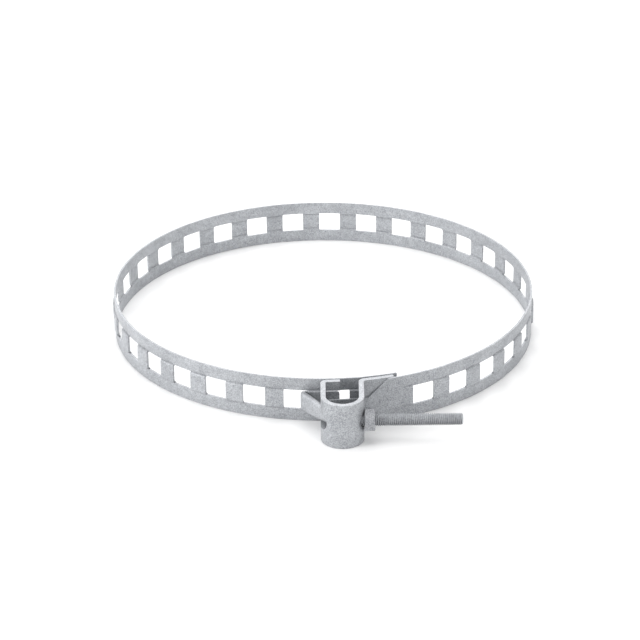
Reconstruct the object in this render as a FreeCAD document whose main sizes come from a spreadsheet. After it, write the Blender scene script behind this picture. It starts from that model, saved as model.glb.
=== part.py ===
import FreeCAD, Part
import math
import os

import Sketcher

# Pole band for a street light, in millimetres.
# Z is the pole's axis, the saddle bracket faces -Y, a little right of the middle, and the bolt lies along X
# with its free end at +X.
doc = FreeCAD.newDocument("pole_band")
sizes = doc.addObject("Spreadsheet::Sheet", "Sizes")

DRIVING_SIZES = [
    # strap: the ring that grips the pole, a ladder of slots with rungs pressed outward
    ("pole_radius", 175),
    ("strap_height", 37.4),
    ("strap_thickness", 1.6),
    ("slot_height", 16.8),
    ("slot_length", 19),
    ("rung_pitch", 33.9),
    ("rung_bulge", 1.3),
    ("joggle_run", 1),
    ("front_standoff", 2.1),
    ("lift_angle", 60),
    ("slot_setback", 9.8),
    ("tail_slots", 1),
    ("tail_bar_length", 5),
    ("plain_end", 60),
    ("fade_length", 11),
    ("tongue_start", 37),
    ("tongue_end", 20.8),
    ("tongue_tip_height", 8),
    ("tongue_tip_gap", 1.3),
    # saddle: the folded plate that the lamp arm's foot sits in
    ("plate_thickness", 4),
    ("saddle_offset", 17),
    ("saddle_width", 34.4),
    ("saddle_overhang", 0.3),
    ("saddle_front_reach", 51),
    ("saddle_bend_radius", 2),
    ("saddle_tab_length", 15.7),
    ("saddle_flange_length", 24),
    ("mouth_height", 22),
    ("mouth_end_height", 14),
    ("bolt_reach", 38.5),
    ("slide_gap", 0.3),
    # hook bolt and nut
    ("bolt_diameter", 10),
    ("bolt_free_end", 95),
    ("bolt_chamfer", 1.2),
    ("hole_clearance", 1),
    ("hook_lean", 53),
    ("hook_bend_radius", 12),
    ("hook_thickness", 4.8),
    ("hook_height", 15.6),
    ("hook_neck_length", 9),
    ("hook_neck_height", 12.4),
    ("hook_throat_height", 13.4),
    ("hook_tip_setback", 2),
    ("hook_tip_thickness", 2),
    ("hook_tip_height", 13),
    ("hook_tip_round", 2.5),
    ("hook_heel_radius", 4.5),
    ("hook_pole_gap", 0.3),
    ("hook_rung_gap", 0.3),
    ("nut_across_flats", 17),
    ("nut_thickness", 8.4),
    ("nut_turn", 33),
    ("nut_seat_gap", 0.1),
    ("thread_gap", 0.15),
]
for row, (alias, number) in enumerate(DRIVING_SIZES, start=1):
    sizes.set(f"A{row}", alias)
    sizes.set(f"B{row}", str(number))
    sizes.setAlias(f"B{row}", alias)
doc.recompute()

# Expressions that several pieces share.
HALF_STRAP = "Sizes.strap_height / 2"
FLANGE_END = "(Sizes.saddle_offset + Sizes.saddle_width / 2 + Sizes.saddle_flange_length)"
LIFT_RADIUS = "(Sizes.front_standoff / (1 - cos(Sizes.lift_angle * 1 deg)))"
FLANGE_ANGLE = f"(Sizes.lift_angle * 1 deg + asin({FLANGE_END} / Sizes.pole_radius))"
FLANGE_LIFT = f"({LIFT_RADIUS} * (1 - cos({FLANGE_ANGLE})))"
RUNG_DEPTH = "(Sizes.rung_bulge + Sizes.strap_thickness)"
LAP = f"({FLANGE_LIFT} + {RUNG_DEPTH} + 2 * Sizes.slide_gap + Sizes.plate_thickness)"
OUTER_RADIUS = f"(Sizes.pole_radius + {LAP} / 2)"
BOLT_Y = "(Sizes.pole_radius + Sizes.bolt_reach)"


def value(expression):
    """Number that an expression of the sheet's cells gives."""
    return float(sizes.evalExpression(expression))


def new_body(label):
    body = doc.addObject("PartDesign::Body", label)
    body.Label = label
    return body


def new_sketch(body, name, role, offset=FreeCAD.Vector(), turn=0.0):
    """Sketch on one of the body's origin planes, shifted and then turned about its own vertical axis."""
    sketch = body.newObject("Sketcher::SketchObject", name)
    plane = next(item for item in body.Origin.OriginFeatures if item.Role == role)
    sketch.AttachmentSupport = [(plane, "")]
    sketch.MapMode = "FlatFace"
    sketch.AttachmentOffset = FreeCAD.Placement(offset, FreeCAD.Rotation(FreeCAD.Vector(0, 1, 0), turn))
    return sketch


def bind(sketch, kind, edge, point, expression):
    """Distance of a sketch point from the sketch's origin, tied to the sheet."""
    distance = value(expression)
    if abs(distance) < 1e-9:
        axis = -2 if kind == "DistanceX" else -1
        sketch.addConstraint(Sketcher.Constraint("PointOnObject", edge, point, axis))
        return
    index = sketch.addConstraint(Sketcher.Constraint(kind, -1, 1, edge, point, distance))
    sketch.setExpression(f"Constraints[{index}]", expression)


def draw_outline(sketch, corners):
    """Closed outline of straight edges. Each corner is a pair of expressions."""
    first = sketch.GeometryCount
    points = [FreeCAD.Vector(value(x), value(y), 0) for x, y in corners]
    for start, end in zip(points, points[1:] + points[:1]):
        sketch.addGeometry(Part.LineSegment(start, end))
    for place, (x, y) in enumerate(corners):
        edge = first + place
        before = first + (place - 1) % len(corners)
        sketch.addConstraint(Sketcher.Constraint("Coincident", before, 2, edge, 1))
        bind(sketch, "DistanceX", edge, 1, x)
        bind(sketch, "DistanceY", edge, 1, y)


def draw_circle(sketch, centre_x, centre_y, radius):
    """Circle whose centre and radius are expressions."""
    centre = FreeCAD.Vector(value(centre_x), value(centre_y), 0)
    edge = sketch.addGeometry(Part.Circle(centre, FreeCAD.Vector(0, 0, 1), value(radius)))
    bind(sketch, "DistanceX", edge, 3, centre_x)
    bind(sketch, "DistanceY", edge, 3, centre_y)
    index = sketch.addConstraint(Sketcher.Constraint("Radius", edge, value(radius)))
    sketch.setExpression(f"Constraints[{index}]", radius)


def mirrored(corners):
    """The same corners below the sketch's horizontal axis, walked the other way round."""
    return [(x, f"-({y})") for x, y in reversed(corners)]


def add_pad(body, name, sketch, length, midplane=False):
    pad = body.newObject("PartDesign::Pad", name)
    pad.Profile = sketch
    pad.Midplane = midplane
    pad.setExpression("Length", length)
    return pad


def add_turn(body, kind, name, sketch, axis, angle, reverse=False, midplane=False):
    """Revolution or Groove of a sketch about one of its own axes."""
    feature = body.newObject(kind, name)
    feature.Profile = sketch
    feature.ReferenceAxis = (sketch, [axis])
    feature.Reversed = reverse
    feature.Midplane = midplane
    feature.setExpression("Angle", angle)
    return feature


def add_cut(body, name, sketch, reverse=False):
    """Cut through everything on one side of the sketch."""
    pocket = body.newObject("PartDesign::Pocket", name)
    pocket.Profile = sketch
    pocket.Type = "ThroughAll"
    pocket.Reversed = reverse
    return pocket


def edges_near(feature, x, y, direction):
    """Names of a feature's straight edges that pass through the plan point and run in the direction."""
    names = []
    for index, edge in enumerate(feature.Shape.Edges, start=1):
        if edge.Curve.TypeId != "Part::GeomLine":
            continue
        middle = edge.CenterOfMass
        parallel = abs(abs(edge.tangentAt(edge.FirstParameter).dot(direction)) - 1) < 1e-4
        if parallel and math.hypot(middle.x - x, middle.y - y) < 0.05:
            names.append(f"Edge{index}")
    return names


def add_fillet(body, name, base, edges, radius):
    fillet = body.newObject("PartDesign::Fillet", name)
    fillet.Base = (base, edges)
    fillet.setExpression("Radius", radius)
    return fillet


# Band strap
# The inner part runs from the rear round the left of the pole to the free tail. It lies on the pole up to
# the lift angle and then stands off a little, so that the hook's tip fits between the pole and a rung.
# The outer arc is larger and runs from the rear round the right side to the tongue in front of the flange.
INNER_MIDDLE = "(Sizes.pole_radius + Sizes.strap_thickness / 2)"
FRONT_RADIUS = f"(Sizes.pole_radius + {LIFT_RADIUS})"
FRONT_MIDDLE = f"({FRONT_RADIUS} + Sizes.strap_thickness / 2)"
OUTER_MIDDLE = f"({OUTER_RADIUS} + Sizes.strap_thickness / 2)"
FRONT_RUN = f"(Sizes.lift_angle * pi / 180 * {FRONT_MIDDLE})"
INNER_RUN = f"({FRONT_RUN} + (180 - Sizes.lift_angle) * pi / 180 * {INNER_MIDDLE})"
WHOLE_RUN = f"({INNER_RUN} + pi * {OUTER_MIDDLE})"
TAIL_SLOTS_RUN = "(Sizes.tail_slots * Sizes.rung_pitch + Sizes.slot_length / 2 + Sizes.slot_setback)"
TAIL_RUN = f"({TAIL_SLOTS_RUN} + Sizes.tail_bar_length)"

# Slots are numbered along the strap from the one behind the saddle, first to the left.
last_front_slot = math.floor(value(f"({FRONT_RUN} + Sizes.slot_setback) / Sizes.rung_pitch"))
last_inner_slot = math.floor(value(f"({INNER_RUN} + Sizes.slot_setback) / Sizes.rung_pitch"))
slotted_run = f"({WHOLE_RUN} - Sizes.plain_end - Sizes.slot_length / 2 + Sizes.slot_setback)"
last_outer_slot = math.floor(value(f"{slotted_run} / Sizes.rung_pitch"))


def slot_run(number):
    return f"({number} * Sizes.rung_pitch - Sizes.slot_setback)"


def degrees_of(run, middle):
    return f"(({run}) / {middle} * 180 / pi)"


def hat_section(radius):
    """Section through a rung: flat rails above and below, the web between them joggled outward."""
    slope = "sqrt(Sizes.rung_bulge ^ 2 + Sizes.joggle_run ^ 2)"
    shift = f"(Sizes.strap_thickness * ({slope} - Sizes.joggle_run) / Sizes.rung_bulge)"
    web = f"{radius} + Sizes.rung_bulge"
    inner_face = [
        (radius, HALF_STRAP),
        (radius, f"Sizes.slot_height / 2 - {shift}"),
        (web, f"Sizes.slot_height / 2 - {shift} - Sizes.joggle_run"),
    ]
    outer_face = [
        (f"{radius} + Sizes.strap_thickness", HALF_STRAP),
        (f"{radius} + Sizes.strap_thickness", "Sizes.slot_height / 2"),
        (f"{web} + Sizes.strap_thickness", "Sizes.slot_height / 2 - Sizes.joggle_run"),
    ]
    return inner_face + mirrored(inner_face) + outer_face_upward(outer_face)


def outer_face_upward(outer_face):
    below = [(x, f"-({y})") for x, y in outer_face]
    return below + list(reversed(outer_face))


strap = new_body("band_strap")
lift = math.radians(value("Sizes.lift_angle"))
front_centre = FreeCAD.Vector(math.sin(lift), math.cos(lift), 0) * value(LIFT_RADIUS)

# Sketch offsets are given as (Y, Z, X) on the upright plane through the pole's axis.
front_axis = FreeCAD.Vector(front_centre.y, 0, front_centre.x)
outer_axis = FreeCAD.Vector(value(f"-{LAP} / 2"), 0, 0)

outer_section = new_sketch(strap, "outer_section", "YZ_Plane", outer_axis)
draw_outline(outer_section, hat_section(OUTER_RADIUS))
outer_turn = degrees_of(f"{slot_run(last_outer_slot)} - {INNER_RUN}", OUTER_MIDDLE)
add_turn(strap, "PartDesign::Revolution", "outer_arc", outer_section, "V_Axis", outer_turn, reverse=True)

tongue_section = new_sketch(strap, "tongue_section", "YZ_Plane", outer_axis)
tongue_corners = [
    (f"-{OUTER_RADIUS}", HALF_STRAP),
    (f"-{OUTER_RADIUS} - Sizes.strap_thickness", HALF_STRAP),
]
draw_outline(tongue_section, tongue_corners + mirrored(tongue_corners))
tongue_turn = degrees_of(f"{WHOLE_RUN} - {slot_run(last_outer_slot)}", OUTER_MIDDLE)
add_turn(strap, "PartDesign::Revolution", "tongue", tongue_section, "V_Axis", tongue_turn)

# Past the last slot the rung's bulge fades into the plain tongue.
fade_start = f"{slot_run(last_outer_slot)} + Sizes.slot_length / 2 - {INNER_RUN}"
fade_sections = []
for name, run, height in (
    ("fade_start_section", fade_start, "Sizes.rung_bulge"),
    ("fade_end_section", f"{fade_start} + Sizes.fade_length", "-Sizes.strap_thickness / 8"),
):
    section = new_sketch(strap, name, "YZ_Plane", outer_axis, -value(degrees_of(run, OUTER_MIDDLE)))
    pad_corners = [
        (f"{OUTER_RADIUS} + Sizes.strap_thickness / 2", "Sizes.slot_height / 2"),
        (f"{OUTER_RADIUS} + Sizes.strap_thickness + {height}", "Sizes.slot_height / 2 - Sizes.joggle_run"),
    ]
    draw_outline(section, pad_corners + mirrored(pad_corners))
    fade_sections.append(section)
fade = strap.newObject("PartDesign::AdditiveLoft", "fading_rung")
fade.Profile = fade_sections[0]
fade.Sections = fade_sections[1:]

# The tongue narrows to a strip that passes through the saddle's right wall and ends short of its left one.
taper = new_sketch(strap, "tongue_taper", "XZ_Plane")
strip_end = "Sizes.saddle_offset - Sizes.saddle_width / 2 + Sizes.plate_thickness + Sizes.tongue_tip_gap"
taper_corners = [
    ("-Sizes.plate_thickness", f"{HALF_STRAP} + 1"),
    ("Sizes.saddle_offset + Sizes.tongue_start", f"{HALF_STRAP} + 1"),
    ("Sizes.saddle_offset + Sizes.tongue_start", HALF_STRAP),
    ("Sizes.saddle_offset + Sizes.tongue_end", "Sizes.tongue_tip_height / 2"),
    (strip_end, "Sizes.tongue_tip_height / 2"),
]
draw_outline(taper, taper_corners + mirrored(taper_corners))
add_cut(strap, "tongue_cut", taper, reverse=True)

rear_section = new_sketch(strap, "rear_section", "YZ_Plane")
draw_outline(rear_section, hat_section("Sizes.pole_radius"))
add_turn(strap, "PartDesign::Revolution", "rear_arc", rear_section, "V_Axis", "180 - Sizes.lift_angle")

front_section = new_sketch(strap, "front_section", "YZ_Plane", front_axis, value("180 - Sizes.lift_angle"))
draw_outline(front_section, hat_section(FRONT_RADIUS))
front_turn = f"Sizes.lift_angle + {degrees_of(TAIL_RUN, FRONT_MIDDLE)}"
add_turn(strap, "PartDesign::Revolution", "front_arc", front_section, "V_Axis", front_turn)


def cut_slots(name, radius, middle, axis_offset, start_turn, count):
    """One slot cut radially through the strap, then repeated along its arc toward the front or the rear."""
    sketch = new_sketch(strap, f"{name}_slot_section", "YZ_Plane", axis_offset, start_turn)
    margin = "Sizes.slide_gap / 2"
    half_slot = [
        (f"{radius} - {margin}", "Sizes.slot_height / 2"),
        (f"{radius} + Sizes.rung_bulge + Sizes.strap_thickness + {margin}", "Sizes.slot_height / 2"),
    ]
    draw_outline(sketch, half_slot + mirrored(half_slot))
    slot_angle = degrees_of("Sizes.slot_length", middle)
    slot_name = f"{name}_slot"
    slot = add_turn(strap, "PartDesign::Groove", slot_name, sketch, "V_Axis", slot_angle, midplane=True)
    doc.recompute()
    pattern = strap.newObject("PartDesign::PolarPattern", f"{name}_slots")
    pattern.Originals = [slot]
    pattern.Axis = (sketch, ["V_Axis"])
    pattern.Mode = "Spacing"
    pattern.Occurrences = count
    pattern.setExpression("Offset", degrees_of("Sizes.rung_pitch", middle))
    strap.Tip = pattern


doc.recompute()
rear_run = f"{slot_run(last_inner_slot)} - {FRONT_RUN}"
rear_start = value(f"180 - Sizes.lift_angle - {degrees_of(rear_run, INNER_MIDDLE)}")
rear_count = last_inner_slot - last_front_slot
cut_slots("rear", "Sizes.pole_radius", INNER_MIDDLE, FreeCAD.Vector(), rear_start, rear_count)
front_start = value(f"180 - {degrees_of(slot_run(last_front_slot), FRONT_MIDDLE)}")
front_count = last_front_slot + int(value("Sizes.tail_slots")) + 1
cut_slots("front", FRONT_RADIUS, FRONT_MIDDLE, front_axis, front_start, front_count)
outer_start = value(f"-{outer_turn}")
outer_count = last_outer_slot - last_inner_slot
cut_slots("outer", OUTER_RADIUS, OUTER_MIDDLE, outer_axis, outer_start, outer_count)


# Saddle bracket
# One plate folded in plan: tab, left wall, round front, right wall, flange. The tab follows the strap's
# front, and the flange follows the outer arc of the strap so that the tongue lies flat on it.
def draw_ribbon(sketch, arcs, thickness):
    """Both faces of a folded plate. Arcs are (centre, radius, start, end) in degrees along its middle line,
    clockwise where end is less than start, and straight walls join one arc's end to the next one's start."""
    ends = []
    for side in (-1, 1):
        last = None
        for centre, radius, start, end in arcs:
            turn_sign = 1 if end > start else -1
            face_radius = radius - side * turn_sign * thickness / 2
            circle = Part.Circle(centre, FreeCAD.Vector(0, 0, 1), face_radius)
            low, high = sorted((math.radians(start), math.radians(end)))
            first = circle.value(math.radians(start))
            if last is not None and last.distanceToPoint(first) > 1e-6:
                sketch.addGeometry(Part.LineSegment(last, first))
            if last is None:
                ends.append(first)
            sketch.addGeometry(Part.ArcOfCircle(circle, low, high))
            last = circle.value(math.radians(end))
        ends.append(last)
    sketch.addGeometry(Part.LineSegment(ends[0], ends[2]))
    sketch.addGeometry(Part.LineSegment(ends[1], ends[3]))


saddle = new_body("saddle_bracket")
plate = value("Sizes.plate_thickness")
middle_x = value("Sizes.saddle_offset")
wall_x = value("Sizes.saddle_width / 2 - Sizes.plate_thickness / 2")
fold = value("Sizes.saddle_bend_radius + Sizes.plate_thickness / 2")
rung_face = value(f"{FRONT_RADIUS} + {RUNG_DEPTH}")
tab_radius = rung_face + value("Sizes.slide_gap + Sizes.plate_thickness / 2")
flange_radius = value(OUTER_RADIUS) - plate / 2
flange_centre = FreeCAD.Vector(0, outer_axis.x, 0)
tab_end = middle_x + value("Sizes.saddle_tab_length - Sizes.saddle_width / 2")


def fold_beside(centre, radius, x):
    """Centre of a fold at the given x that touches a circle from outside, and its direction in degrees."""
    fold_y = centre.y - math.sqrt((radius + fold) ** 2 - (x - centre.x) ** 2)
    return FreeCAD.Vector(x, fold_y, 0), 360 + math.degrees(math.atan2(fold_y - centre.y, x - centre.x))


def direction_at(centre, radius, x):
    """Direction in degrees from a circle's centre to its front point at the given x."""
    return 270 + math.degrees(math.asin((x - centre.x) / radius))


left_fold, left_angle = fold_beside(front_centre, tab_radius, middle_x - wall_x + fold)
right_fold, right_angle = fold_beside(flange_centre, flange_radius, middle_x + wall_x + fold)
flange_angle = direction_at(flange_centre, flange_radius, value(FLANGE_END))
front_y = value("Sizes.saddle_width / 2 - Sizes.saddle_front_reach - Sizes.pole_radius")
saddle_path = [
    (front_centre, tab_radius, direction_at(front_centre, tab_radius, tab_end), left_angle),
    (left_fold, fold, left_angle - 180, 180),
    (FreeCAD.Vector(middle_x, front_y, 0), wall_x, 180, 360),
    (right_fold, fold, 180, right_angle - 180),
    (flange_centre, flange_radius, right_angle, flange_angle),
]
saddle_plan = new_sketch(saddle, "saddle_plan", "XY_Plane")
draw_ribbon(saddle_plan, saddle_path, plate)
saddle_height = "Sizes.strap_height + 2 * Sizes.saddle_overhang"
add_pad(saddle, "folded_plate", saddle_plan, saddle_height, midplane=True)

# The mouth in the left wall is wide at the tab and narrows to a round end about the bolt.
saddle_middle = FreeCAD.Vector(0, 0, middle_x)
mouth = new_sketch(saddle, "mouth_outline", "YZ_Plane", saddle_middle)
half_mouth = value("Sizes.mouth_height / 2")
half_end = value("Sizes.mouth_end_height / 2")
mouth_front = -value(BOLT_Y)
mouth_corners = [
    FreeCAD.Vector(mouth_front, half_end, 0),
    FreeCAD.Vector(-rung_face - plate, half_mouth, 0),
    FreeCAD.Vector(-value("Sizes.pole_radius"), half_mouth, 0),
    FreeCAD.Vector(-value("Sizes.pole_radius"), -half_mouth, 0),
    FreeCAD.Vector(-rung_face - plate, -half_mouth, 0),
    FreeCAD.Vector(mouth_front, -half_end, 0),
]
for corner, after in zip(mouth_corners, mouth_corners[1:]):
    mouth.addGeometry(Part.LineSegment(corner, after))
mouth_round = Part.Circle(FreeCAD.Vector(mouth_front, 0, 0), FreeCAD.Vector(0, 0, 1), half_end)
mouth.addGeometry(Part.ArcOfCircle(mouth_round, math.pi / 2, 3 * math.pi / 2))
add_cut(saddle, "mouth", mouth)

bolt_hole = new_sketch(saddle, "bolt_hole_circle", "YZ_Plane", saddle_middle)
draw_circle(bolt_hole, f"-{BOLT_Y}", "0", "(Sizes.bolt_diameter + Sizes.hole_clearance) / 2")
add_cut(saddle, "bolt_hole", bolt_hole, reverse=True)

slit_section = new_sketch(saddle, "slit_section", "YZ_Plane", outer_axis)
half_slit = "Sizes.tongue_tip_height / 2 + Sizes.slide_gap"
slit_corners = [
    (f"-{OUTER_RADIUS}", half_slit),
    (f"-{OUTER_RADIUS} - Sizes.strap_thickness - Sizes.slide_gap", half_slit),
]
draw_outline(slit_section, slit_corners + mirrored(slit_corners))
slit_turn = f"asin((Sizes.saddle_offset + Sizes.tongue_end) / {OUTER_RADIUS})"
add_turn(saddle, "PartDesign::Groove", "tongue_slit", slit_section, "V_Axis", slit_turn)


# Hook bolt
# The flat leg leans on the outer corner of the rung beside the saddle. Its tip turns back behind that rung.
lean = math.radians(value("Sizes.hook_lean"))
leg_way = FreeCAD.Vector(-math.cos(lean), math.sin(lean), 0)
leg_side = FreeCAD.Vector(math.sin(lean), math.cos(lean), 0)
rung_edge = math.radians(value(degrees_of(f"{slot_run(1)} - Sizes.slot_length / 2", FRONT_MIDDLE)))
rung_corner = front_centre - FreeCAD.Vector(math.sin(rung_edge), math.cos(rung_edge), 0) * rung_face
leg_middle = rung_corner - leg_side * value("Sizes.hook_rung_gap + Sizes.hook_thickness / 2")

# Where the leg's middle line, carried on, meets the bolt's axis, and the round bend between the two.
axis_y = -value(BOLT_Y)
bend = value("Sizes.hook_bend_radius")
meeting_x = leg_middle.x + (axis_y - leg_middle.y) / leg_way.y * leg_way.x
bend_x = meeting_x + bend * math.tan(lean / 2)
leg_start = FreeCAD.Vector(meeting_x, axis_y, 0) + leg_way * (bend * math.tan(lean / 2))


def on_circle_from(point, way, radius):
    """Where a line from the point meets the circle of that radius about the pole's axis."""
    along = point.dot(way)
    return point + way * (-along - math.sqrt(along ** 2 - point.dot(point) + radius ** 2))


hook = new_body("hook_bolt")
half_leg = value("Sizes.hook_thickness / 2")
tip_inner = value("Sizes.pole_radius + Sizes.hook_pole_gap")
tip_outer = tip_inner + value("Sizes.hook_tip_thickness")
TIP_X = "(Sizes.saddle_offset - Sizes.hook_tip_setback)"
tip_x = value(TIP_X)
toe = on_circle_from(leg_start + leg_side * half_leg, leg_way, tip_outer)
heel = on_circle_from(leg_start - leg_side * half_leg, leg_way, tip_inner)
tip_front = FreeCAD.Vector(tip_x, -math.sqrt(tip_outer ** 2 - tip_x ** 2), 0)
tip_back = FreeCAD.Vector(tip_x, -math.sqrt(tip_inner ** 2 - tip_x ** 2), 0)


def arc_between(start, end, radius):
    """Arc about the pole's axis between two plan points in front of it, given from left to right."""
    circle = Part.Circle(FreeCAD.Vector(), FreeCAD.Vector(0, 0, 1), radius)
    return Part.ArcOfCircle(circle, math.atan2(start.y, start.x), math.atan2(end.y, end.x))


hook_plan = new_sketch(hook, "hook_plan", "XY_Plane")
hook_plan.addGeometry(Part.LineSegment(leg_start + leg_side * half_leg, toe))
hook_plan.addGeometry(arc_between(toe, tip_front, tip_outer))
hook_plan.addGeometry(Part.LineSegment(tip_front, tip_back))
hook_plan.addGeometry(arc_between(heel, tip_back, tip_inner))
hook_plan.addGeometry(Part.LineSegment(heel, leg_start - leg_side * half_leg))
hook_plan.addGeometry(Part.LineSegment(leg_start - leg_side * half_leg, leg_start + leg_side * half_leg))
flat_hook = add_pad(hook, "flat_hook", hook_plan, "Sizes.hook_height", midplane=True)
doc.recompute()
upright = FreeCAD.Vector(0, 0, 1)
heel_edges = edges_near(flat_hook, heel.x, heel.y, upright)
add_fillet(hook, "heel_round", flat_hook, heel_edges, "Sizes.hook_heel_radius")

# Seen from the front the leg narrows toward the neck, and the tip narrows to fit between the rung's joggles.
# The two are cut from one plane between them, each on its own side.
parting_y = -tip_outer - value("Sizes.slide_gap / 2")
heel_x = f"({heel.x})"
toe_x = f"({toe.x})"
neck_x = f"({leg_start.x})"


def cut_taper(name, profile, toward_pole):
    """Cut the hook to a narrowing profile of (x, half height) above and below the bolt's axis."""
    sketch = new_sketch(hook, f"{name}_profile", "XZ_Plane", FreeCAD.Vector(0, 0, -parting_y))
    clear = "(Sizes.hook_height / 2 + 1)"
    outline = [(profile[0][0], clear)] + profile + [(profile[-1][0], clear)]
    draw_outline(sketch, outline)
    draw_outline(sketch, [(x, f"-{half_height}") for x, half_height in outline])
    return add_cut(hook, name, sketch, reverse=not toward_pole)


leg_profile = [
    (toe_x, "(Sizes.hook_height / 2)"),
    (neck_x, "(Sizes.hook_neck_height / 2)"),
    (f"({bend_x})", "(Sizes.hook_neck_height / 2)"),
]
cut_taper("leg_taper", leg_profile, toward_pole=False)
tip_profile = [
    (heel_x, "(Sizes.hook_height / 2)"),
    (toe_x, "(Sizes.hook_throat_height / 2)"),
    (TIP_X, "(Sizes.hook_tip_height / 2)"),
    (f"{TIP_X} + 1", "(Sizes.hook_tip_height / 2)"),
]
taper_cut = cut_taper("tip_taper", tip_profile, toward_pole=True)
doc.recompute()
tip_middle = (tip_front + tip_back) * 0.5
tip_edges = edges_near(taper_cut, tip_middle.x, tip_middle.y, (tip_front - tip_back).normalize())
add_fillet(hook, "tip_round", taper_cut, tip_edges, "Sizes.hook_tip_round")

# The bar is round from the neck to its threaded end.
bend_centre = FreeCAD.Vector(axis_y + bend, 0, bend_x)
bend_section = new_sketch(hook, "bend_section", "YZ_Plane", bend_centre)
draw_circle(bend_section, "-Sizes.hook_bend_radius", "0", "Sizes.bolt_diameter / 2")
lean_turn = "Sizes.hook_lean"
add_turn(hook, "PartDesign::Revolution", "round_bend", bend_section, "V_Axis", lean_turn, reverse=True)

neck_end = leg_start + leg_way * value("Sizes.hook_neck_length")
neck_turn = 180 - value("Sizes.hook_lean")
neck_start_section = new_sketch(
    hook, "neck_start_section", "YZ_Plane", FreeCAD.Vector(leg_start.y, 0, leg_start.x), neck_turn)
draw_circle(neck_start_section, "0", "0", "Sizes.bolt_diameter / 2")
neck_end_section = new_sketch(
    hook, "neck_end_section", "YZ_Plane", FreeCAD.Vector(neck_end.y, 0, neck_end.x), neck_turn)
half_neck = value("Sizes.hook_neck_height / 2")
flat_oval = Part.Ellipse(FreeCAD.Vector(0, half_neck, 0), FreeCAD.Vector(half_leg, 0, 0), FreeCAD.Vector())
neck_end_section.addGeometry(flat_oval)
neck = hook.newObject("PartDesign::AdditiveLoft", "neck")
neck.Profile = neck_start_section
neck.Sections = [neck_end_section]

shank_section = new_sketch(hook, "shank_section", "YZ_Plane", FreeCAD.Vector(axis_y, 0, bend_x))
draw_circle(shank_section, "0", "0", "Sizes.bolt_diameter / 2")
BOLT_END = "(Sizes.saddle_offset + Sizes.bolt_free_end)"
shank = add_pad(hook, "shank", shank_section, f"{BOLT_END} - ({bend_x})")
doc.recompute()
end_edges = [
    f"Edge{index}" for index, edge in enumerate(shank.Shape.Edges, start=1)
    if edge.BoundBox.XMin > value(BOLT_END) - 1e-3
]
end_chamfer = hook.newObject("PartDesign::Chamfer", "end_chamfer")
end_chamfer.Base = (shank, end_edges)
end_chamfer.setExpression("Size", "Sizes.bolt_chamfer")


# Hexagon nut
# It seats on the saddle's right wall, turned about the bolt by an angle, its corners cut at both faces.
nut = new_body("hex_nut")
nut_seat = value("Sizes.saddle_offset + Sizes.saddle_width / 2 + Sizes.nut_seat_gap")
hexagon = new_sketch(nut, "hexagon", "YZ_Plane", FreeCAD.Vector(axis_y, 0, nut_seat))
corner_radius = "Sizes.nut_across_flats / sqrt(3)"
hexagon_corners = []
for angle in range(0, 360, 60):
    turn = f"(Sizes.nut_turn * 1 deg + {angle} deg)"
    hexagon_corners.append((f"{corner_radius} * cos({turn})", f"{corner_radius} * sin({turn})"))
draw_outline(hexagon, hexagon_corners)
add_pad(nut, "nut_blank", hexagon, "Sizes.nut_thickness")
bore = new_sketch(nut, "nut_bore_circle", "YZ_Plane", FreeCAD.Vector(axis_y, 0, nut_seat))
draw_circle(bore, "0", "0", "Sizes.bolt_diameter / 2 + Sizes.thread_gap")
add_cut(nut, "nut_bore", bore, reverse=True)

corner_cut = new_sketch(nut, "corner_cut", "XY_Plane", FreeCAD.Vector(nut_seat, axis_y, 0))
corner_depth = f"(({corner_radius} - Sizes.nut_across_flats / 2 + 1) * tan(30 deg))"
for face, inward in (
    ("0", corner_depth),
    ("Sizes.nut_thickness", f"Sizes.nut_thickness - {corner_depth}"),
):
    draw_outline(corner_cut, [
        (face, "Sizes.nut_across_flats / 2"),
        (face, f"{corner_radius} + 1"),
        (inward, f"{corner_radius} + 1"),
    ])
add_turn(nut, "PartDesign::Groove", "nut_corners", corner_cut, "H_Axis", "360")

doc.recompute()
os.makedirs("parts", exist_ok=True)
for piece in (strap, saddle, hook, nut):
    for item in [piece] + piece.Group:
        if "Invalid" in item.State or "Error" in item.State:
            raise RuntimeError(f"{piece.Label}: {item.Label} failed to build")
    if piece.Shape.isNull() or not piece.Shape.isValid():
        raise RuntimeError(f"{piece.Label} has no valid shape")
    piece.Shape.exportStep(f"parts/{piece.Label}.step")
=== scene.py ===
import math

import bmesh
import bpy
from mathutils import Matrix, Vector


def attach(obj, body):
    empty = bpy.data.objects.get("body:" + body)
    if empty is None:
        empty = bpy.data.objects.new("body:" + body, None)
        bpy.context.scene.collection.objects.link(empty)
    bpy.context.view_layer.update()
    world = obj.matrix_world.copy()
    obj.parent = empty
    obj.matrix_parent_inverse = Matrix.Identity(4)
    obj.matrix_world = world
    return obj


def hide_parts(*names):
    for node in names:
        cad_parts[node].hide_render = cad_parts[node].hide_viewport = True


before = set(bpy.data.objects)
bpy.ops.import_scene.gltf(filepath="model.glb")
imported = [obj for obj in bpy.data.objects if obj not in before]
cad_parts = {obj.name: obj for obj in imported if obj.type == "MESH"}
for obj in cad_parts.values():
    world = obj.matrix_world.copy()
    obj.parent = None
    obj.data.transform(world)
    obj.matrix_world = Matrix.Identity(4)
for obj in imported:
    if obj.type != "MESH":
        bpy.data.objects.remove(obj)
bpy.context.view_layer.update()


# Band strap
# A ladder of thin steel strip: slots are punched out and the rungs between them are pressed outward.
# It is dipped in molten zinc and bent into a ring. At the front its plain tongue laps over its slotted tail.
POLE_RADIUS = 0.175
STRAP_THICKNESS = 0.0016
STRAP_HALF_HEIGHT = 0.0187
SLOT_HALF_HEIGHT = 0.0084
SLOT_LENGTH = 0.019
RUNG_PITCH = 0.0339
RUNG_BULGE = 0.0013
JOGGLE_DROP = 0.0014
JOGGLE_SHARPNESS = 1.4
FIRST_SLOT = -0.0098
TAIL_SLOTS = 1
TAIL_BAR_LENGTH = 0.005
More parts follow.
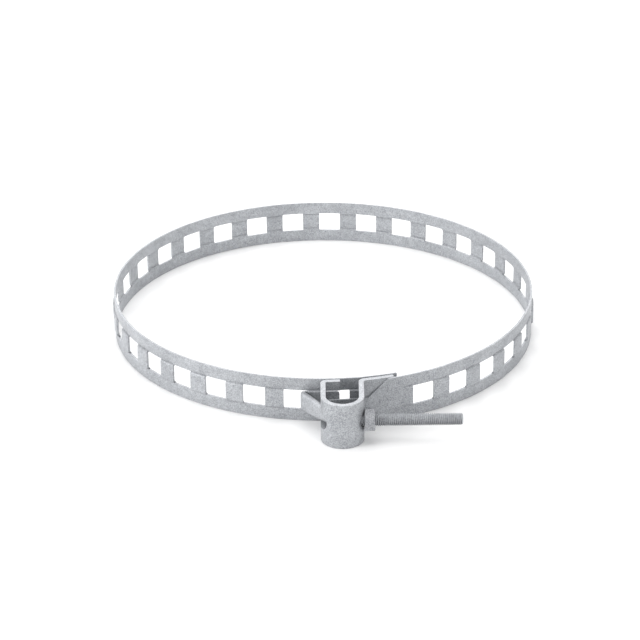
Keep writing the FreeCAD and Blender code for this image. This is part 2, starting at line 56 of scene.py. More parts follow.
LIFT_ANGLE = math.radians(60)
LIFT_RADIUS = 0.0042
LAP = 0.01093
PLAIN_END = 0.060
FADE_LENGTH = 0.011
TONGUE_START = 0.054
TONGUE_END = 0.0378
TONGUE_TIP = 0.0051
TONGUE_TIP_HALF = 0.004
BEND_RIPPLE = 0.00005
SHEARED_EDGE = 0.00022
STRIP_DARK = (0.24, 0.25, 0.268)
STRIP_LIGHT = (0.505, 0.52, 0.543)
STRIP_ROUGHNESS = 0.5

# Mesh of the strap: a row in the rail and one in the rung, and the steps of each stretch.
RAIL_ROW = 0.0135
RUNG_ROW = 0.0035
JOGGLE_STEPS = 8
RUNG_STEPS = 6
SLOT_STEPS = 8
TONGUE_STEPS = 24
TONGUE_TIP_STEPS = 10
ROUNDING = 1e-9

inner_middle = POLE_RADIUS + STRAP_THICKNESS / 2
front_middle = inner_middle + LIFT_RADIUS
outer_middle = inner_middle + LAP / 2
front_centre = Vector((math.sin(LIFT_ANGLE), math.cos(LIFT_ANGLE))) * LIFT_RADIUS
outer_centre = Vector((0.0, -LAP / 2))
front_run = LIFT_ANGLE * front_middle
inner_run = front_run + (math.pi - LIFT_ANGLE) * inner_middle
whole_run = inner_run + math.pi * outer_middle
last_slot = math.floor((whole_run - PLAIN_END - SLOT_LENGTH / 2 - FIRST_SLOT) / RUNG_PITCH)
tail_run = TAIL_SLOTS * RUNG_PITCH + SLOT_LENGTH / 2 - FIRST_SLOT + TAIL_BAR_LENGTH
tongue_from = FIRST_SLOT + last_slot * RUNG_PITCH + SLOT_LENGTH / 2


def smooth_step(share):
    """Eased share, which stays at 0 below 0 and at 1 above 1."""
    share = min(1.0, max(0.0, share))
    return share * share * (3 - 2 * share)


def between(start, end, share):
    """Value or point at a share of the way from start to end."""
    return start + (end - start) * share


def strap_place(run, outward):
    """Plan point of the strap's middle line, carried outward by a distance. Run is measured along the strap
    from the front, first to the left, and is negative on the tail."""
    if run <= front_run:
        centre, radius, turn = front_centre, front_middle, run / front_middle
    elif run <= inner_run:
        centre, radius, turn = Vector((0.0, 0.0)), inner_middle, LIFT_ANGLE + (run - front_run) / inner_middle
    else:
        centre, radius, turn = outer_centre, outer_middle, math.pi + (run - inner_run) / outer_middle
    ripple = -BEND_RIPPLE * math.cos(2 * math.pi * (run - FIRST_SLOT) / RUNG_PITCH)
    reach = radius + outward + ripple
    return centre.x - reach * math.sin(turn), centre.y - reach * math.cos(turn)


def strap_rows():
    """Heights across the strap from top to bottom, each with its share of the rung's bulge."""
    upper = [(STRAP_HALF_HEIGHT, 0.0), (RAIL_ROW, 0.0)]
    for step in range(JOGGLE_STEPS + 1):
        share = step / JOGGLE_STEPS
        bulge_share = smooth_step(0.5 + JOGGLE_SHARPNESS * (share - 0.5))
        upper.append((SLOT_HALF_HEIGHT - JOGGLE_DROP * share, bulge_share))
    upper.append((RUNG_ROW, 1.0))
    return upper + [(-height, share) for height, share in reversed(upper)]


def stretch(start, end, steps, is_slot):
    """Stations along one stretch of the strap, without its end."""
    return [(between(start, end, step / steps), is_slot) for step in range(steps)]


def strap_stations():
    """Runs along the strap, each with whether the stretch after it is a slot."""
    stations = []
    for number in range(-TAIL_SLOTS, last_slot + 1):
        slot_start = FIRST_SLOT + number * RUNG_PITCH - SLOT_LENGTH / 2
        rung_start = slot_start - RUNG_PITCH + SLOT_LENGTH
        if number == -TAIL_SLOTS:
            rung_start = -tail_run
        stations += stretch(rung_start, slot_start, RUNG_STEPS, False)
        stations += stretch(slot_start, slot_start + SLOT_LENGTH, SLOT_STEPS, True)
    tongue_end = whole_run - outer_middle * math.asin(TONGUE_END / outer_middle)
    tongue_tip = whole_run - outer_middle * math.asin(TONGUE_TIP / outer_middle)
    stations += stretch(tongue_from, tongue_end, TONGUE_STEPS, False)
    stations += stretch(tongue_end, tongue_tip, TONGUE_TIP_STEPS, False)
    stations.append((tongue_tip, False))
    return stations


def strap_vertex(run, row, rows, side):
    """Point on the outer face, side 1, or on the inner face, side -1."""
    bulge = RUNG_BULGE * (1 - smooth_step((run - tongue_from) / FADE_LENGTH))
    height, share = rows[row]
    above, below = rows[max(row - 1, 0)], rows[min(row + 1, len(rows) - 1)]
    square_on = Vector((above[0] - below[0], (below[1] - above[1]) * bulge)).normalized()
    x, y = strap_place(run, share * bulge + side * STRAP_THICKNESS / 2 * square_on.x)
    height += side * STRAP_THICKNESS / 2 * square_on.y
    if run > tongue_from and x < TONGUE_START:
        rise = (x - TONGUE_END) / (TONGUE_START - TONGUE_END)
        tongue_half = between(TONGUE_TIP_HALF, STRAP_HALF_HEIGHT, max(0.0, rise))
        height *= tongue_half / STRAP_HALF_HEIGHT
    return x, y, height


def strap_mesh():
    """Two faces of the punched strip and the sheared walls between them."""
    stations, rows = strap_stations(), strap_rows()
    slot_half = SLOT_HALF_HEIGHT + ROUNDING
    rung_rows = [row for row, (height, share) in enumerate(rows) if abs(height) <= slot_half]
    points, places, faces, rims = [], {}, [], {}

    def place(column, row, side):
        if (column, row, side) not in places:
            places[column, row, side] = len(points)
            points.append(strap_vertex(stations[column][0], row, rows, side))
        return places[column, row, side]

    for column in range(len(stations) - 1):
        for row in range(len(rows) - 1):
            if stations[column][1] and rung_rows[0] <= row < rung_rows[-1]:
                continue
            corners = [(column, row), (column + 1, row), (column + 1, row + 1), (column, row + 1)]
            faces.append([place(*corner, 1) for corner in corners])
            faces.append([place(*corner, -1) for corner in reversed(corners)])
            for start, end in zip(corners, corners[1:] + corners[:1]):
                if (end, start) in rims:
                    del rims[end, start]
                else:
                    rims[start, end] = True
    for start, end in rims:
        faces.append([place(*end, 1), place(*start, 1), place(*start, -1), place(*end, -1)])
    return points, faces


def new_piece(name, points, faces):
    """Smooth-shaded object whose faces all look outward."""
    mesh = bpy.data.meshes.new(name)
    mesh.from_pydata(points, [], faces)
    shell = bmesh.new()
    shell.from_mesh(mesh)
    bmesh.ops.recalc_face_normals(shell, faces=shell.faces)
    shell.to_mesh(mesh)
    shell.free()
    mesh.polygons.foreach_set("use_smooth", [True] * len(mesh.polygons))
    piece = bpy.data.objects.new(name, mesh)
    bpy.context.scene.collection.objects.link(piece)
    return piece


def round_edges(piece, width, segments, angle):
    """Rounds every edge sharper than the angle in degrees, as zinc does when it runs off."""
    bevel = piece.modifiers.new("rounded_edges", "BEVEL")
    bevel.width = width
    bevel.segments = segments
    bevel.limit_method = "ANGLE"
    bevel.angle_limit = math.radians(angle)
    bevel.harden_normals = True
    bevel.use_clamp_overlap = True


# The zinc coat, which all four pieces share: sizes in metres, shares of each tone, and limits in the noise.
ZINC_METALLIC = 0.4
CRYSTAL_SIZE = 0.003
WARP_SIZE = 0.0025
WARP_REACH = 0.0021
CLOUD_SIZE = 0.0375
CLOUD_SHARE = 0.75
GRAIN_SIZE = 0.0008
GRAIN_SHARE = 0.72
GRAIN_LIMITS = (0.25, 0.75)
GRAIN_RELIEF = 0.00012
RELIEF_STRENGTH = 0.5
TONE_LIMITS = (0.36, 0.64)
ROUGHNESS_SPREAD = 0.08
DROSS_SIZE = 0.0016
DROSS_LIMITS = (0.66, 0.76)
DROSS_SHARE = 0.5
DROSS_TONE = 0.45
# Painted shade: the corner reach, rays, limits, share and colour and the upward limits and share below darken
# the colour in inner corners, least on faces that look up.
CORNER_REACH = 0.0022
CORNER_RAYS = 8
CORNER_LIMITS = (0.68, 0.95)
CORNER_SHADE_SHARE = 0.8
PAINTED_SHADE_COLOUR = (0.05, 0.05, 0.055, 1.0)
UPWARD_LIMITS = (-0.3, 0.4)
UPWARD_SHADE_SHARE = 0.1


def add_node(tree, kind, inputs, **settings):
    """Outputs of a new node, each of whose named inputs is linked to another output or fixed at a value."""
    node = tree.nodes.new(kind)
    for setting, choice in settings.items():
        setattr(node, setting, choice)
    for socket, source in inputs.items():
        if isinstance(source, bpy.types.NodeSocket):
            tree.links.new(source, node.inputs[socket])
        else:
            node.inputs[socket].default_value = source
    return node.outputs


def add_noise(tree, where, size, detail, roughness):
    """Outputs of a noise whose largest features are about as wide as the size."""
    return add_node(tree, "ShaderNodeTexNoise", {
        "Vector": where, "Scale": 1 / size, "Detail": detail, "Roughness": roughness})


def carry_over(tree, amount, limits, results):
    """Number that runs from one result to the other while an amount runs from one limit to the other."""
    return add_node(tree, "ShaderNodeMapRange", {
        "Value": amount, "From Min": limits[0], "From Max": limits[1],
        "To Min": results[0], "To Max": results[1]})["Result"]


def zinc_grain(tree):
    """Mottling of the coat: warped crystals, wide clouds and a fine grain."""
    where = add_node(tree, "ShaderNodeTexCoord", {})["Object"]
    warp = add_noise(tree, where, WARP_SIZE, detail=2.0, roughness=0.5)["Color"]
    warped = add_node(tree, "ShaderNodeVectorMath", {
        0: warp, 1: (WARP_REACH,) * 3, 2: where}, operation="MULTIPLY_ADD")["Vector"]
    crystals = add_node(tree, "ShaderNodeTexVoronoi", {"Vector": warped, "Scale": 1 / CRYSTAL_SIZE})["Color"]
    crystal_tone = add_node(tree, "ShaderNodeSeparateColor", {"Color": crystals})["Red"]
    clouds = add_noise(tree, where, CLOUD_SIZE, detail=4.0, roughness=0.6)["Fac"]
    grain = add_noise(tree, where, GRAIN_SIZE, detail=1.0, roughness=0.5)["Fac"]
    mottled = add_node(tree, "ShaderNodeMix", {
        "Factor": CLOUD_SHARE, "A": crystal_tone, "B": clouds})["Result"]
    return add_node(tree, "ShaderNodeMix", {
        "Factor": GRAIN_SHARE, "A": mottled, "B": grain})["Result"]


def zinc_dross(tree):
    """Share of dross, the small dark specks in the coat."""
    where = add_node(tree, "ShaderNodeTexCoord", {})["Object"]
    specks = add_noise(tree, where, DROSS_SIZE, detail=2.0, roughness=0.5)["Fac"]
    return carry_over(tree, specks, DROSS_LIMITS, (0.0, DROSS_SHARE))


def painted_corner_shade(tree):
    """Share of painted shade: dark colour laid into inner corners, most where faces look sideways or down and
    least on faces that look up.
    """
    openness = add_node(tree, "ShaderNodeAmbientOcclusion", {
        "Distance": CORNER_REACH}, only_local=True, samples=CORNER_RAYS)["AO"]
    corner_shade = carry_over(tree, openness, CORNER_LIMITS, (CORNER_SHADE_SHARE, 0.0))
    normal = add_node(tree, "ShaderNodeNewGeometry", {})["True Normal"]
    upward = add_node(tree, "ShaderNodeSeparateXYZ", {"Vector": normal})["Z"]
    downward_shade = carry_over(tree, upward, UPWARD_LIMITS, (1.0, UPWARD_SHADE_SHARE))
    return add_node(tree, "ShaderNodeMath", {0: corner_shade, 1: downward_shade}, operation="MULTIPLY")["Value"]


def zinc_finish(name, dark, light, roughness):
    """Hot-dip zinc: dull grey between a dark and a light tone, with specks of dross and painted shade
    darkening the inner corners.
    """
    material = bpy.data.materials.new(name)
    material.use_nodes = True
    tree = material.node_tree
    shader = tree.nodes["Principled BSDF"]
    shader.inputs["Metallic"].default_value = ZINC_METALLIC

    grain = zinc_grain(tree)
    tone = tree.nodes.new("ShaderNodeValToRGB")
    for stop, limit, colour in zip(tone.color_ramp.elements, TONE_LIMITS, (dark, light)):
        stop.position = limit
        stop.color = (*colour, 1.0)
    tree.links.new(grain, tone.inputs["Fac"])
    zinc = tone.outputs["Color"]
    dross_colour = (*[DROSS_TONE * channel for channel in dark], 1.0)
    specked = add_node(tree, "ShaderNodeMix", {
        "Factor": zinc_dross(tree), "A": zinc, "B": dross_colour}, data_type="RGBA")["Result"]
    # Painted shade: darkens the zinc colour in inner corners, least on faces that look up.
    shaded_zinc = add_node(tree, "ShaderNodeMix", {
        "Factor": painted_corner_shade(tree), "A": specked, "B": PAINTED_SHADE_COLOUR}, data_type="RGBA")["Result"]
    tree.links.new(shaded_zinc, shader.inputs["Base Color"])

    spread = (roughness - ROUGHNESS_SPREAD, roughness + ROUGHNESS_SPREAD)
    tree.links.new(carry_over(tree, grain, GRAIN_LIMITS, spread), shader.inputs["Roughness"])
    relief = add_node(tree, "ShaderNodeBump", {
        "Strength": RELIEF_STRENGTH, "Distance": GRAIN_RELIEF, "Height": grain})["Normal"]
    tree.links.new(relief, shader.inputs["Normal"])
    return material


band_strap = new_piece("band_strap_sheet", *strap_mesh())
round_edges(band_strap, SHEARED_EDGE, segments=2, angle=40)
band_strap.data.materials.append(zinc_finish("galvanized_strip", STRIP_DARK, STRIP_LIGHT, STRIP_ROUGHNESS))
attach(band_strap, "band")
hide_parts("band_strap")


# Saddle bracket
# One 4 mm steel plate folded into a U, with a tab before the strap's tail and a flange behind its tongue.
# The left wall is cut open for the hook, and the right wall is drilled for the bolt and slit for the tongue.
PLATE = 0.004
SADDLE_X = 0.017
SADDLE_HALF_WIDTH = 0.0172
SADDLE_HALF_HEIGHT = 0.019
SADDLE_ROUND_Y = -0.2088
FOLD_RADIUS = 0.002
TAB_END = 0.0155
FLANGE_END = 0.0582
BOLT_Y = -0.2135
BOLT_HOLE_RADIUS = 0.0055
MOUTH_HALF = 0.011
MOUTH_SHOULDER_Y = -0.1863
MOUTH_END_RADIUS = 0.007
SLIT_WIDTH = 0.0026
SLIDE_GAP = 0.0003
PLATE_EDGE = 0.00035
PLATE_DARK = (0.235, 0.245, 0.262)
PLATE_LIGHT = (0.495, 0.51, 0.532)
PLATE_ROUGHNESS = 0.48

# The cutting tools reach past the plate on these sides.
PUNCH_LEFT = -0.060
PUNCH_BACK = -0.160
DRILL_RIGHT = 0.045
SLITTER_LEFT = 0.028
SLITTER_RIGHT = 0.0345

TAB_STEPS = 8
FOLD_STEPS = 10
ROUND_STEPS = 48
FLANGE_STEPS = 10


def toward(turn):
    """Unit vector in plan, at an angle from +X."""
    return Vector((math.cos(turn), math.sin(turn)))


def folded_plate():
    """Both faces of the plate in plan, as matching lists of points from the tab to the flange."""
    wall = SADDLE_HALF_WIDTH - PLATE / 2
    fold = FOLD_RADIUS + PLATE / 2
    tab = POLE_RADIUS + LIFT_RADIUS + RUNG_BULGE + STRAP_THICKNESS + SLIDE_GAP + PLATE / 2
    flange = POLE_RADIUS + LAP / 2 - PLATE / 2

    def fold_beside(centre, radius, x):
        away = Vector((x - centre.x, -math.sqrt((radius + fold) ** 2 - (x - centre.x) ** 2)))
        return centre + away, math.atan2(away.y, away.x)

    def turn_at(centre, radius, x):
        return math.asin((x - centre.x) / radius) - math.pi / 2

    left, left_turn = fold_beside(front_centre, tab, SADDLE_X - wall + fold)
    right, right_turn = fold_beside(outer_centre, flange, SADDLE_X + wall + fold)
    bends = [
        (front_centre, tab, turn_at(front_centre, tab, TAB_END), left_turn, TAB_STEPS),
        (left, fold, left_turn + math.pi, math.pi, FOLD_STEPS),
        (Vector((SADDLE_X, SADDLE_ROUND_Y)), wall, math.pi, 2 * math.pi, ROUND_STEPS),
        (right, fold, math.pi, right_turn + math.pi, FOLD_STEPS),
        (outer_centre, flange, right_turn, turn_at(outer_centre, flange, FLANGE_END), FLANGE_STEPS),
    ]
    faces = []
    for side in (-1, 1):
        points = []
        for centre, radius, start, end, steps in bends:
            reach = radius - side * math.copysign(PLATE / 2, end - start)
            for step in range(steps + 1):
                points.append(centre + reach * toward(between(start, end, step / steps)))
        faces.append(points)
    return faces


def saddle_blank():
    """The folded plate before its mouth, hole and slit are cut."""
    inside, outside = folded_plate()
    points = []
    for face in (inside, outside):
        for height in (-SADDLE_HALF_HEIGHT, SADDLE_HALF_HEIGHT):
            points += [(point.x, point.y, height) for point in face]
    count = len(inside)
    inner_low, inner_high, outer_low, outer_high = 0, count, 2 * count, 3 * count
    strips = [
        (inner_low, inner_high), (inner_high, outer_high), (outer_high, outer_low), (outer_low, inner_low),
    ]
    faces = []
    for step in range(count - 1):
        for first, second in strips:
            faces.append([first + step, first + step + 1, second + step + 1, second + step])
    for end in (0, count - 1):
        faces.append([inner_low + end, inner_high + end, outer_high + end, outer_low + end])
    return points, faces


def bar_along_x(outline, low, high):
    """Closed bar with the outline, a list of (y, z), between two places along X."""
    count = len(outline)
    points = [(x, y, z) for x in (low, high) for y, z in outline]
    faces = [list(range(count)), list(range(2 * count - 1, count - 1, -1))]
    for step in range(count):
        after = (step + 1) % count
        faces.append([step, after, count + after, count + step])
    return points, faces


def arc_about_bolt(radius, start, end, steps):
    """Points (y, z) on an arc about the bolt's axis, angles in degrees from +Y towards +Z."""
    arc = []
    for step in range(steps + 1):
        turn = math.radians(between(start, end, step / steps))
        arc.append((BOLT_Y + radius * math.cos(turn), radius * math.sin(turn)))
    return arc


def carve(piece, tool, operation):
    """Cuts one solid by another, or keeps what they share, and deletes the tool."""
    boolean = piece.modifiers.new(tool.name, "BOOLEAN")
    boolean.object = tool
    boolean.operation = operation
    boolean.solver = "EXACT"
    carved = bpy.data.meshes.new_from_object(piece.evaluated_get(bpy.context.evaluated_depsgraph_get()))
    piece.modifiers.clear()
    piece.data = carved
    bpy.data.objects.remove(tool)


saddle = new_piece("saddle_bracket_plate", *saddle_blank())
mouth = arc_about_bolt(MOUTH_END_RADIUS, start=90, end=270, steps=32)
mouth += [(MOUTH_SHOULDER_Y, -MOUTH_HALF), (PUNCH_BACK, -MOUTH_HALF)]
mouth += [(PUNCH_BACK, MOUTH_HALF), (MOUTH_SHOULDER_Y, MOUTH_HALF)]
carve(saddle, new_piece("mouth_punch", *bar_along_x(mouth, PUNCH_LEFT, SADDLE_X)), "DIFFERENCE")
drill = arc_about_bolt(BOLT_HOLE_RADIUS, start=0, end=350, steps=35)
carve(saddle, new_piece("bolt_hole_drill", *bar_along_x(drill, SADDLE_X, DRILL_RIGHT)), "DIFFERENCE")
slit_half = TONGUE_TIP_HALF + SLIDE_GAP
right_wall = SADDLE_X + SADDLE_HALF_WIDTH
slit_back = outer_centre.y - math.sqrt((POLE_RADIUS + LAP / 2) ** 2 - right_wall ** 2)
slit_front = slit_back - SLIT_WIDTH
slit = [(slit_back, -slit_half), (slit_back, slit_half), (slit_front, slit_half), (slit_front, -slit_half)]
carve(saddle, new_piece("tongue_slit", *bar_along_x(slit, SLITTER_LEFT, SLITTER_RIGHT)), "DIFFERENCE")
round_edges(saddle, PLATE_EDGE, segments=3, angle=35)
saddle.data.materials.append(zinc_finish("galvanized_plate", PLATE_DARK, PLATE_LIGHT, PLATE_ROUGHNESS))
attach(saddle, "band")
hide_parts("saddle_bracket")


# Hook bolt
# A 10 mm steel bar with a rolled thread, its other end bent over and forged flat into a hook.
# The hook's leg passes the saddle's mouth into a slot of the strap and its tip turns back behind the rung.
BOLT_RADIUS = 0.005
BOLT_FREE_END = 0.112
THREAD_START = 0.0205
THREAD_PITCH = 0.0015
THREAD_DEPTH = 0.00085
THREAD_CREST_SHARE = 0.1
THREAD_FLANK_SHARE = 0.8
THREAD_RUN_OUT = 2.5 * THREAD_PITCH
THREAD_STEPS = 10
END_CHAMFER = 0.0012
PLAIN_SHANK = 0.001
HOOK_LEAN = math.radians(53)
HOOK_BEND_RADIUS = 0.012
HOOK_BEND_FLATNESS = 0.35
HOOK_THICKNESS = 0.0048
HOOK_HEIGHT = 0.0156
HOOK_NECK_LENGTH = 0.009
HOOK_NECK_HEIGHT = 0.0124
HOOK_HEEL_RADIUS = 0.003
HOOK_THROAT_HEIGHT = 0.0134
HOOK_TIP_X = 0.015
HOOK_TIP_THICKNESS = 0.002
HOOK_TIP_HEIGHT = 0.013
HOOK_TIP_ROUND = 0.0025
HOOK_TIP_THINNING = 0.4
HOOK_POLE_GAP = 0.0003
HOOK_RUNG_GAP = 0.0003
ROUND_SECTION = 2.0
FORGED_SECTION = 5.0
SHARP_ANGLE = math.radians(50)
BAR_DARK = (0.265, 0.275, 0.293)
BAR_LIGHT = (0.52, 0.535, 0.558)
BAR_ROUGHNESS = 0.48

RING_POINTS = 40
BEND_STEPS = 12
LEG_STEPS = 14
HEEL_STEPS = 12
TIP_STEPS = 12
TIP_ROUND_SHARES = (0.3, 0.55, 0.75, 0.9, 0.98)

ring_turns = [2 * math.pi * step / RING_POINTS for step in range(RING_POINTS)]


def thread_radius(x, turn):
    """Radius of the rolled thread, whose ridge climbs right-handed towards the free end."""
    share = (x / THREAD_PITCH - turn / (2 * math.pi)) % 1.0
    from_crest = abs(share - 0.5) * 2
    cut = THREAD_DEPTH * smooth_step((from_crest - THREAD_CREST_SHARE) / THREAD_FLANK_SHARE)
    cut *= smooth_step((x - THREAD_START) / THREAD_RUN_OUT)
    end_cone = BOLT_RADIUS - max(0.0, END_CHAMFER - (BOLT_FREE_END - x))
    return min(BOLT_RADIUS - cut, end_cone)


def thread_rings():
    """Rings of points along the threaded bar, from its free end."""
    rings = []
    step_length = THREAD_PITCH / THREAD_STEPS
    for step in range(int((BOLT_FREE_END - THREAD_START) / step_length) + 1):
        x = BOLT_FREE_END - step * step_length
        ring = []
        for turn in ring_turns:
            radius = thread_radius(x, turn)
            ring.append((x, BOLT_Y + radius * math.cos(turn), radius * math.sin(turn)))
        rings.append(ring)
    return rings


def clockwise(away):
    """Direction of travel of a point that goes clockwise round a centre, seen from above."""
    return Vector((away.y, -away.x))


# The leg passes the corner of the first rung at the hook's clearance. The bend joins it to the bar.
round_bar = 2 * BOLT_RADIUS
leg_way = Vector((-math.cos(HOOK_LEAN), math.sin(HOOK_LEAN)))
inward = clockwise(leg_way)
rung_face = POLE_RADIUS + LIFT_RADIUS + RUNG_BULGE + STRAP_THICKNESS
rung_turn = (FIRST_SLOT + RUNG_PITCH - SLOT_LENGTH / 2) / front_middle
rung_corner = front_centre - Vector((math.sin(rung_turn), math.cos(rung_turn))) * rung_face
leg_point = rung_corner - inward * (HOOK_RUNG_GAP + HOOK_THICKNESS / 2)
meeting = leg_point + leg_way * ((BOLT_Y - leg_point.y) / leg_way.y)
bend_reach = HOOK_BEND_RADIUS * math.tan(HOOK_LEAN / 2)
bend_centre = Vector((meeting.x + bend_reach, BOLT_Y + HOOK_BEND_RADIUS))
leg_start = meeting + leg_way * bend_reach

# The tip lies on a circle about the pole, and the heel's tight bend joins the leg to it.
tip_reach = POLE_RADIUS + HOOK_POLE_GAP + HOOK_TIP_THICKNESS / 2
beside = leg_start + inward * HOOK_HEEL_RADIUS
along = beside.dot(leg_way)
heel_reach = math.sqrt(along ** 2 - beside.dot(beside) + (tip_reach + HOOK_HEEL_RADIUS) ** 2)
heel_centre = beside - leg_way * (along + heel_reach)
leg = heel_centre - inward * HOOK_HEEL_RADIUS - leg_start


def bend_stations():
    """Middle, direction, height, thickness and squareness of the bar where it bends and starts to flatten."""
    stations = []
    for step in range(BEND_STEPS + 1):
        share = step / BEND_STEPS
        away = toward(-math.pi / 2 - HOOK_LEAN * share)
        middle = bend_centre + away * HOOK_BEND_RADIUS
        flatness = HOOK_BEND_FLATNESS * smooth_step(share)
        height = between(round_bar, HOOK_NECK_HEIGHT, flatness)
        thickness = between(round_bar, HOOK_THICKNESS, flatness)
        stations.append((middle, clockwise(away), height, thickness, ROUND_SECTION))
    return stations


def leg_stations():
    """The same five down the straight leg, which widens and turns square."""
    stations = []
    for step in range(1, LEG_STEPS + 1):
        share = step / LEG_STEPS
        flatness = between(HOOK_BEND_FLATNESS, 1.0, smooth_step(share * leg.length / HOOK_NECK_LENGTH))
        height = between(round_bar, between(HOOK_NECK_HEIGHT, HOOK_HEIGHT, share), flatness)
        thickness = between(round_bar, HOOK_THICKNESS, flatness)
        squareness = between(ROUND_SECTION, FORGED_SECTION, smooth_step(share))
        stations.append((leg_start + leg * share, leg_way, height, thickness, squareness))
    return stations


def heel_stations():
    """The same five round the heel, which thins towards the tip."""
    heel_from = math.atan2(-inward.y, -inward.x) % (2 * math.pi)
    heel_to = math.atan2(-heel_centre.y, -heel_centre.x)
    stations = []
    for step in range(1, HEEL_STEPS + 1):
        share = step / HEEL_STEPS
        away = toward(between(heel_from, heel_to, share))
        middle = heel_centre + away * HOOK_HEEL_RADIUS
        height = between(HOOK_HEIGHT, HOOK_THROAT_HEIGHT, share)
        thickness = between(HOOK_THICKNESS, HOOK_TIP_THICKNESS, smooth_step(share))
        stations.append((middle, clockwise(away), height, thickness, FORGED_SECTION))
    return stations


def tip_stations():
    """The same five along the tip, whose end is rounded."""
    tip_from = math.atan2(heel_centre.y, heel_centre.x)
    tip_to = -math.acos(HOOK_TIP_X / tip_reach)
    round_from = tip_to - HOOK_TIP_ROUND / tip_reach
    shares = [step / TIP_STEPS for step in range(1, TIP_STEPS + 1)]
    tip = [(between(tip_from, round_from, share), share, 0.0) for share in shares]
    tip += [(between(round_from, tip_to, share), 1.0, share) for share in TIP_ROUND_SHARES]
    stations = []
    for turn, share, rounding in tip:
        away = toward(turn)
        height = between(HOOK_THROAT_HEIGHT, HOOK_TIP_HEIGHT, share)
        height -= 2 * HOOK_TIP_ROUND * (1 - math.sqrt(1 - rounding ** 2))
        thickness = HOOK_TIP_THICKNESS * (1 - HOOK_TIP_THINNING * rounding ** 2)
        stations.append((away * tip_reach, -clockwise(away), height, thickness, FORGED_SECTION))
    return stations


def bar_section(middle, direction, height, thickness, squareness):
    """Ring of points square to the bar: round at squareness 2, nearly a rectangle at 5."""
    across = clockwise(direction)
    ring = []
    for turn in ring_turns:
        cosine, sine = math.cos(turn), math.sin(turn)
        side = math.copysign(abs(cosine) ** (2 / squareness), cosine) * thickness / 2
        rise = math.copysign(abs(sine) ** (2 / squareness), sine) * height / 2
        ring.append((middle.x + across.x * side, middle.y + across.y * side, rise))
    return ring


def skin(rings):
    """Closed surface over a row of rings."""
    points = [point for ring in rings for point in ring]
    faces = [list(range(RING_POINTS)), list(range(len(points) - 1, len(points) - RING_POINTS - 1, -1))]
    for row in range(len(rings) - 1):
        for step in range(RING_POINTS):
            after = (step + 1) % RING_POINTS
            first, second = row * RING_POINTS, (row + 1) * RING_POINTS
            faces.append([first + step, second + step, second + after, first + after])
    return points, faces


shank = (Vector((THREAD_START - PLAIN_SHANK, BOLT_Y)), Vector((-1, 0)), round_bar, round_bar, ROUND_SECTION)
hook = [shank] + bend_stations() + leg_stations() + heel_stations() + tip_stations()
hook_bolt = new_piece("hook_bolt_bar", *skin(thread_rings() + [bar_section(*station) for station in hook]))
hook_bolt.data.set_sharp_from_angle(angle=SHARP_ANGLE)
hook_bolt.data.materials.append(zinc_finish("galvanized_bar", BAR_DARK, BAR_LIGHT, BAR_ROUGHNESS))
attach(hook_bolt, "bolt")
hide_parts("hook_bolt")


# Hexagon nut
# A cold-formed steel nut, its corners turned off at both faces and its bore countersunk, then galvanized.
# It runs on the bolt's thread and bears on the saddle's right wall.
NUT_SEAT = 0.0343
NUT_THICKNESS = 0.0084
NUT_ACROSS_FLATS = 0.017
NUT_ACROSS_CORNERS = NUT_ACROSS_FLATS * 2 / math.sqrt(3)
NUT_TURN = 33
NUT_BORE_RADIUS = 0.00515
NUT_COUNTERSINK = 0.0006
NUT_FACE_RADIUS = NUT_ACROSS_FLATS * 0.49
NUT_CHAMFER_ANGLE = math.radians(30)
NUT_EDGE = 0.0002
NUT_DARK = (0.20, 0.205, 0.22)
NUT_LIGHT = (0.41, 0.42, 0.44)
NUT_ROUGHNESS = 0.55

# The nut is what a turned blank, wider than its corners, and a hexagonal bar, longer than it, have in common.
BLANK_RADIUS = NUT_ACROSS_FLATS * 0.62
BLANK_STEPS = 96
HEXAGON_LEFT = 0.020
HEXAGON_RIGHT = 0.060


def turned_blank():
    """Ring turned about the bolt's axis, chamfered outside and countersunk inside at both faces."""
    chamfer = (BLANK_RADIUS - NUT_FACE_RADIUS) * math.tan(NUT_CHAMFER_ANGLE)
    sunk_radius = NUT_BORE_RADIUS + NUT_COUNTERSINK
    profile = [
        (0.0, sunk_radius), (NUT_COUNTERSINK, NUT_BORE_RADIUS),
        (NUT_THICKNESS - NUT_COUNTERSINK, NUT_BORE_RADIUS), (NUT_THICKNESS, sunk_radius),
        (NUT_THICKNESS, NUT_FACE_RADIUS), (NUT_THICKNESS - chamfer, BLANK_RADIUS),
        (chamfer, BLANK_RADIUS), (0.0, NUT_FACE_RADIUS),
    ]
    points, faces = [], []
    for step in range(BLANK_STEPS):
        turn = 2 * math.pi * step / BLANK_STEPS
        for along_bolt, radius in profile:
            points.append((NUT_SEAT + along_bolt, BOLT_Y + radius * math.cos(turn), radius * math.sin(turn)))
    count = len(profile)
    for step in range(BLANK_STEPS):
        for corner in range(count):
            first, second = step * count, (step + 1) % BLANK_STEPS * count
            after = (corner + 1) % count
            faces.append([first + corner, first + after, second + after, second + corner])
    return points, faces


nut = new_piece("hex_nut_body", *turned_blank())
hexagon = arc_about_bolt(NUT_ACROSS_CORNERS / 2, start=NUT_TURN, end=NUT_TURN + 300, steps=5)
carve(nut, new_piece("hexagon_bar", *bar_along_x(hexagon, HEXAGON_LEFT, HEXAGON_RIGHT)), "INTERSECT")
round_edges(nut, NUT_EDGE, segments=2, angle=25)
nut.data.materials.append(zinc_finish("galvanized_nut", NUT_DARK, NUT_LIGHT, NUT_ROUGHNESS))
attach(nut, "nut")
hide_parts("hex_nut")


# Studio
# A pale matt floor under the ring, soft lights overhead, behind, left and right, and a white room.
# The camera is a long lens a little above the ring, straight in front of it.
FLOOR_Z = -0.0192
FLOOR_HALF = 20.0
FLOOR_COLOUR = (0.93, 0.93, 0.93, 1.0)
FLOOR_ROUGHNESS = 0.9
ROOM_COLOUR = (1.0, 1.0, 1.0, 1.0)
ROOM_STRENGTH = 0.68

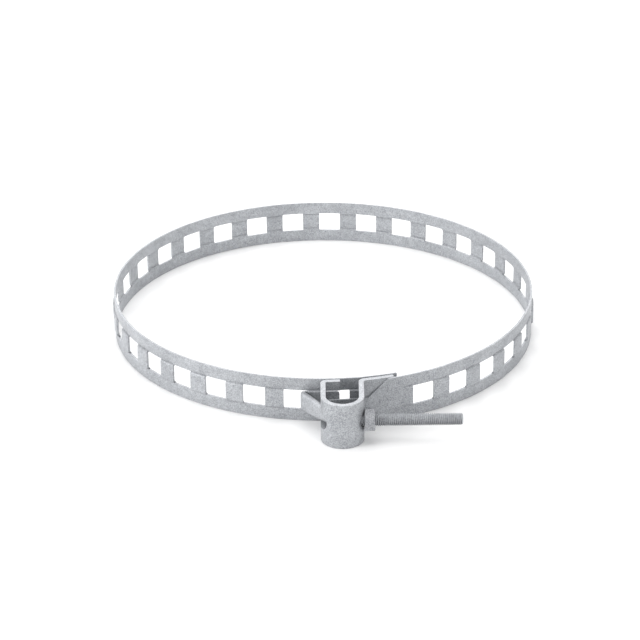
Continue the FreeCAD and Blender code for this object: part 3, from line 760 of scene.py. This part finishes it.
floor_corners = [(-1, -1), (1, -1), (1, 1), (-1, 1)]
floor_points = [(x * FLOOR_HALF, y * FLOOR_HALF, FLOOR_Z) for x, y in floor_corners]
floor_mesh = bpy.data.meshes.new("floor")
floor_mesh.from_pydata(floor_points, [], [[0, 1, 2, 3]])
floor = bpy.data.objects.new("floor", floor_mesh)
bpy.context.scene.collection.objects.link(floor)
pale = bpy.data.materials.new("pale_floor")
pale.use_nodes = True
pale_shader = pale.node_tree.nodes["Principled BSDF"]
pale_shader.inputs["Base Color"].default_value = FLOOR_COLOUR
pale_shader.inputs["Roughness"].default_value = FLOOR_ROUGHNESS
floor_mesh.materials.append(pale)

room = bpy.data.worlds.new("white_room")
bpy.context.scene.world = room
room.use_nodes = True
room_light = room.node_tree.nodes["Background"]
room_light.inputs["Color"].default_value = ROOM_COLOUR
room_light.inputs["Strength"].default_value = ROOM_STRENGTH


def soft_light(name, place, size, power):
    """Round lamp that looks at the middle of the ring."""
    lamp = bpy.data.lights.new(name, "AREA")
    lamp.shape = "DISK"
    lamp.size = size
    lamp.energy = power
    holder = bpy.data.objects.new(name, lamp)
    holder.location = place
    holder.rotation_euler = (-Vector(place)).to_track_quat("-Z", "Y").to_euler()
    bpy.context.scene.collection.objects.link(holder)


soft_light("overhead_light", place=(0.0, 0.3, 1.8), size=2.4, power=20)
soft_light("rear_light", place=(0.0, 2.4, 1.15), size=2.6, power=34)
soft_light("left_light", place=(-2.3, -1.0, 1.0), size=1.2, power=40)
soft_light("right_light", place=(1.9, -1.8, 0.9), size=1.6, power=15)

CAMERA_ELEVATION = math.radians(25.175)
CAMERA_DISTANCE = 2.203
CAMERA_ROLL = math.radians(-0.62)
FOCAL_PIXELS = 2559.7
RING_TOP = Vector((0.0, 0.0, STRAP_HALF_HEIGHT))
RING_TOP_PIXEL = (319.6, 283.8)
FRAME_PIXELS = 640

lens = bpy.data.cameras.new("camera")
lens.sensor_width = 36.0
lens.lens = FOCAL_PIXELS / FRAME_PIXELS * lens.sensor_width
lens.clip_start = 0.05
camera = bpy.data.objects.new("camera", lens)
back = Vector((0.0, -math.cos(CAMERA_ELEVATION), math.sin(CAMERA_ELEVATION)))
aside = math.atan2(RING_TOP_PIXEL[0] - FRAME_PIXELS / 2, FOCAL_PIXELS)
below = math.atan2(RING_TOP_PIXEL[1] - FRAME_PIXELS / 2, FOCAL_PIXELS)
facing = back.to_track_quat("Z", "Y").to_matrix()
facing = facing @ Matrix.Rotation(CAMERA_ROLL, 3, "Z")
facing = facing @ Matrix.Rotation(aside, 3, "Y") @ Matrix.Rotation(below, 3, "X")
camera.location = RING_TOP + back * CAMERA_DISTANCE
camera.rotation_euler = facing.to_euler()
bpy.context.scene.collection.objects.link(camera)
bpy.context.scene.camera = camera
bpy.context.scene.view_settings.view_transform = "Standard"
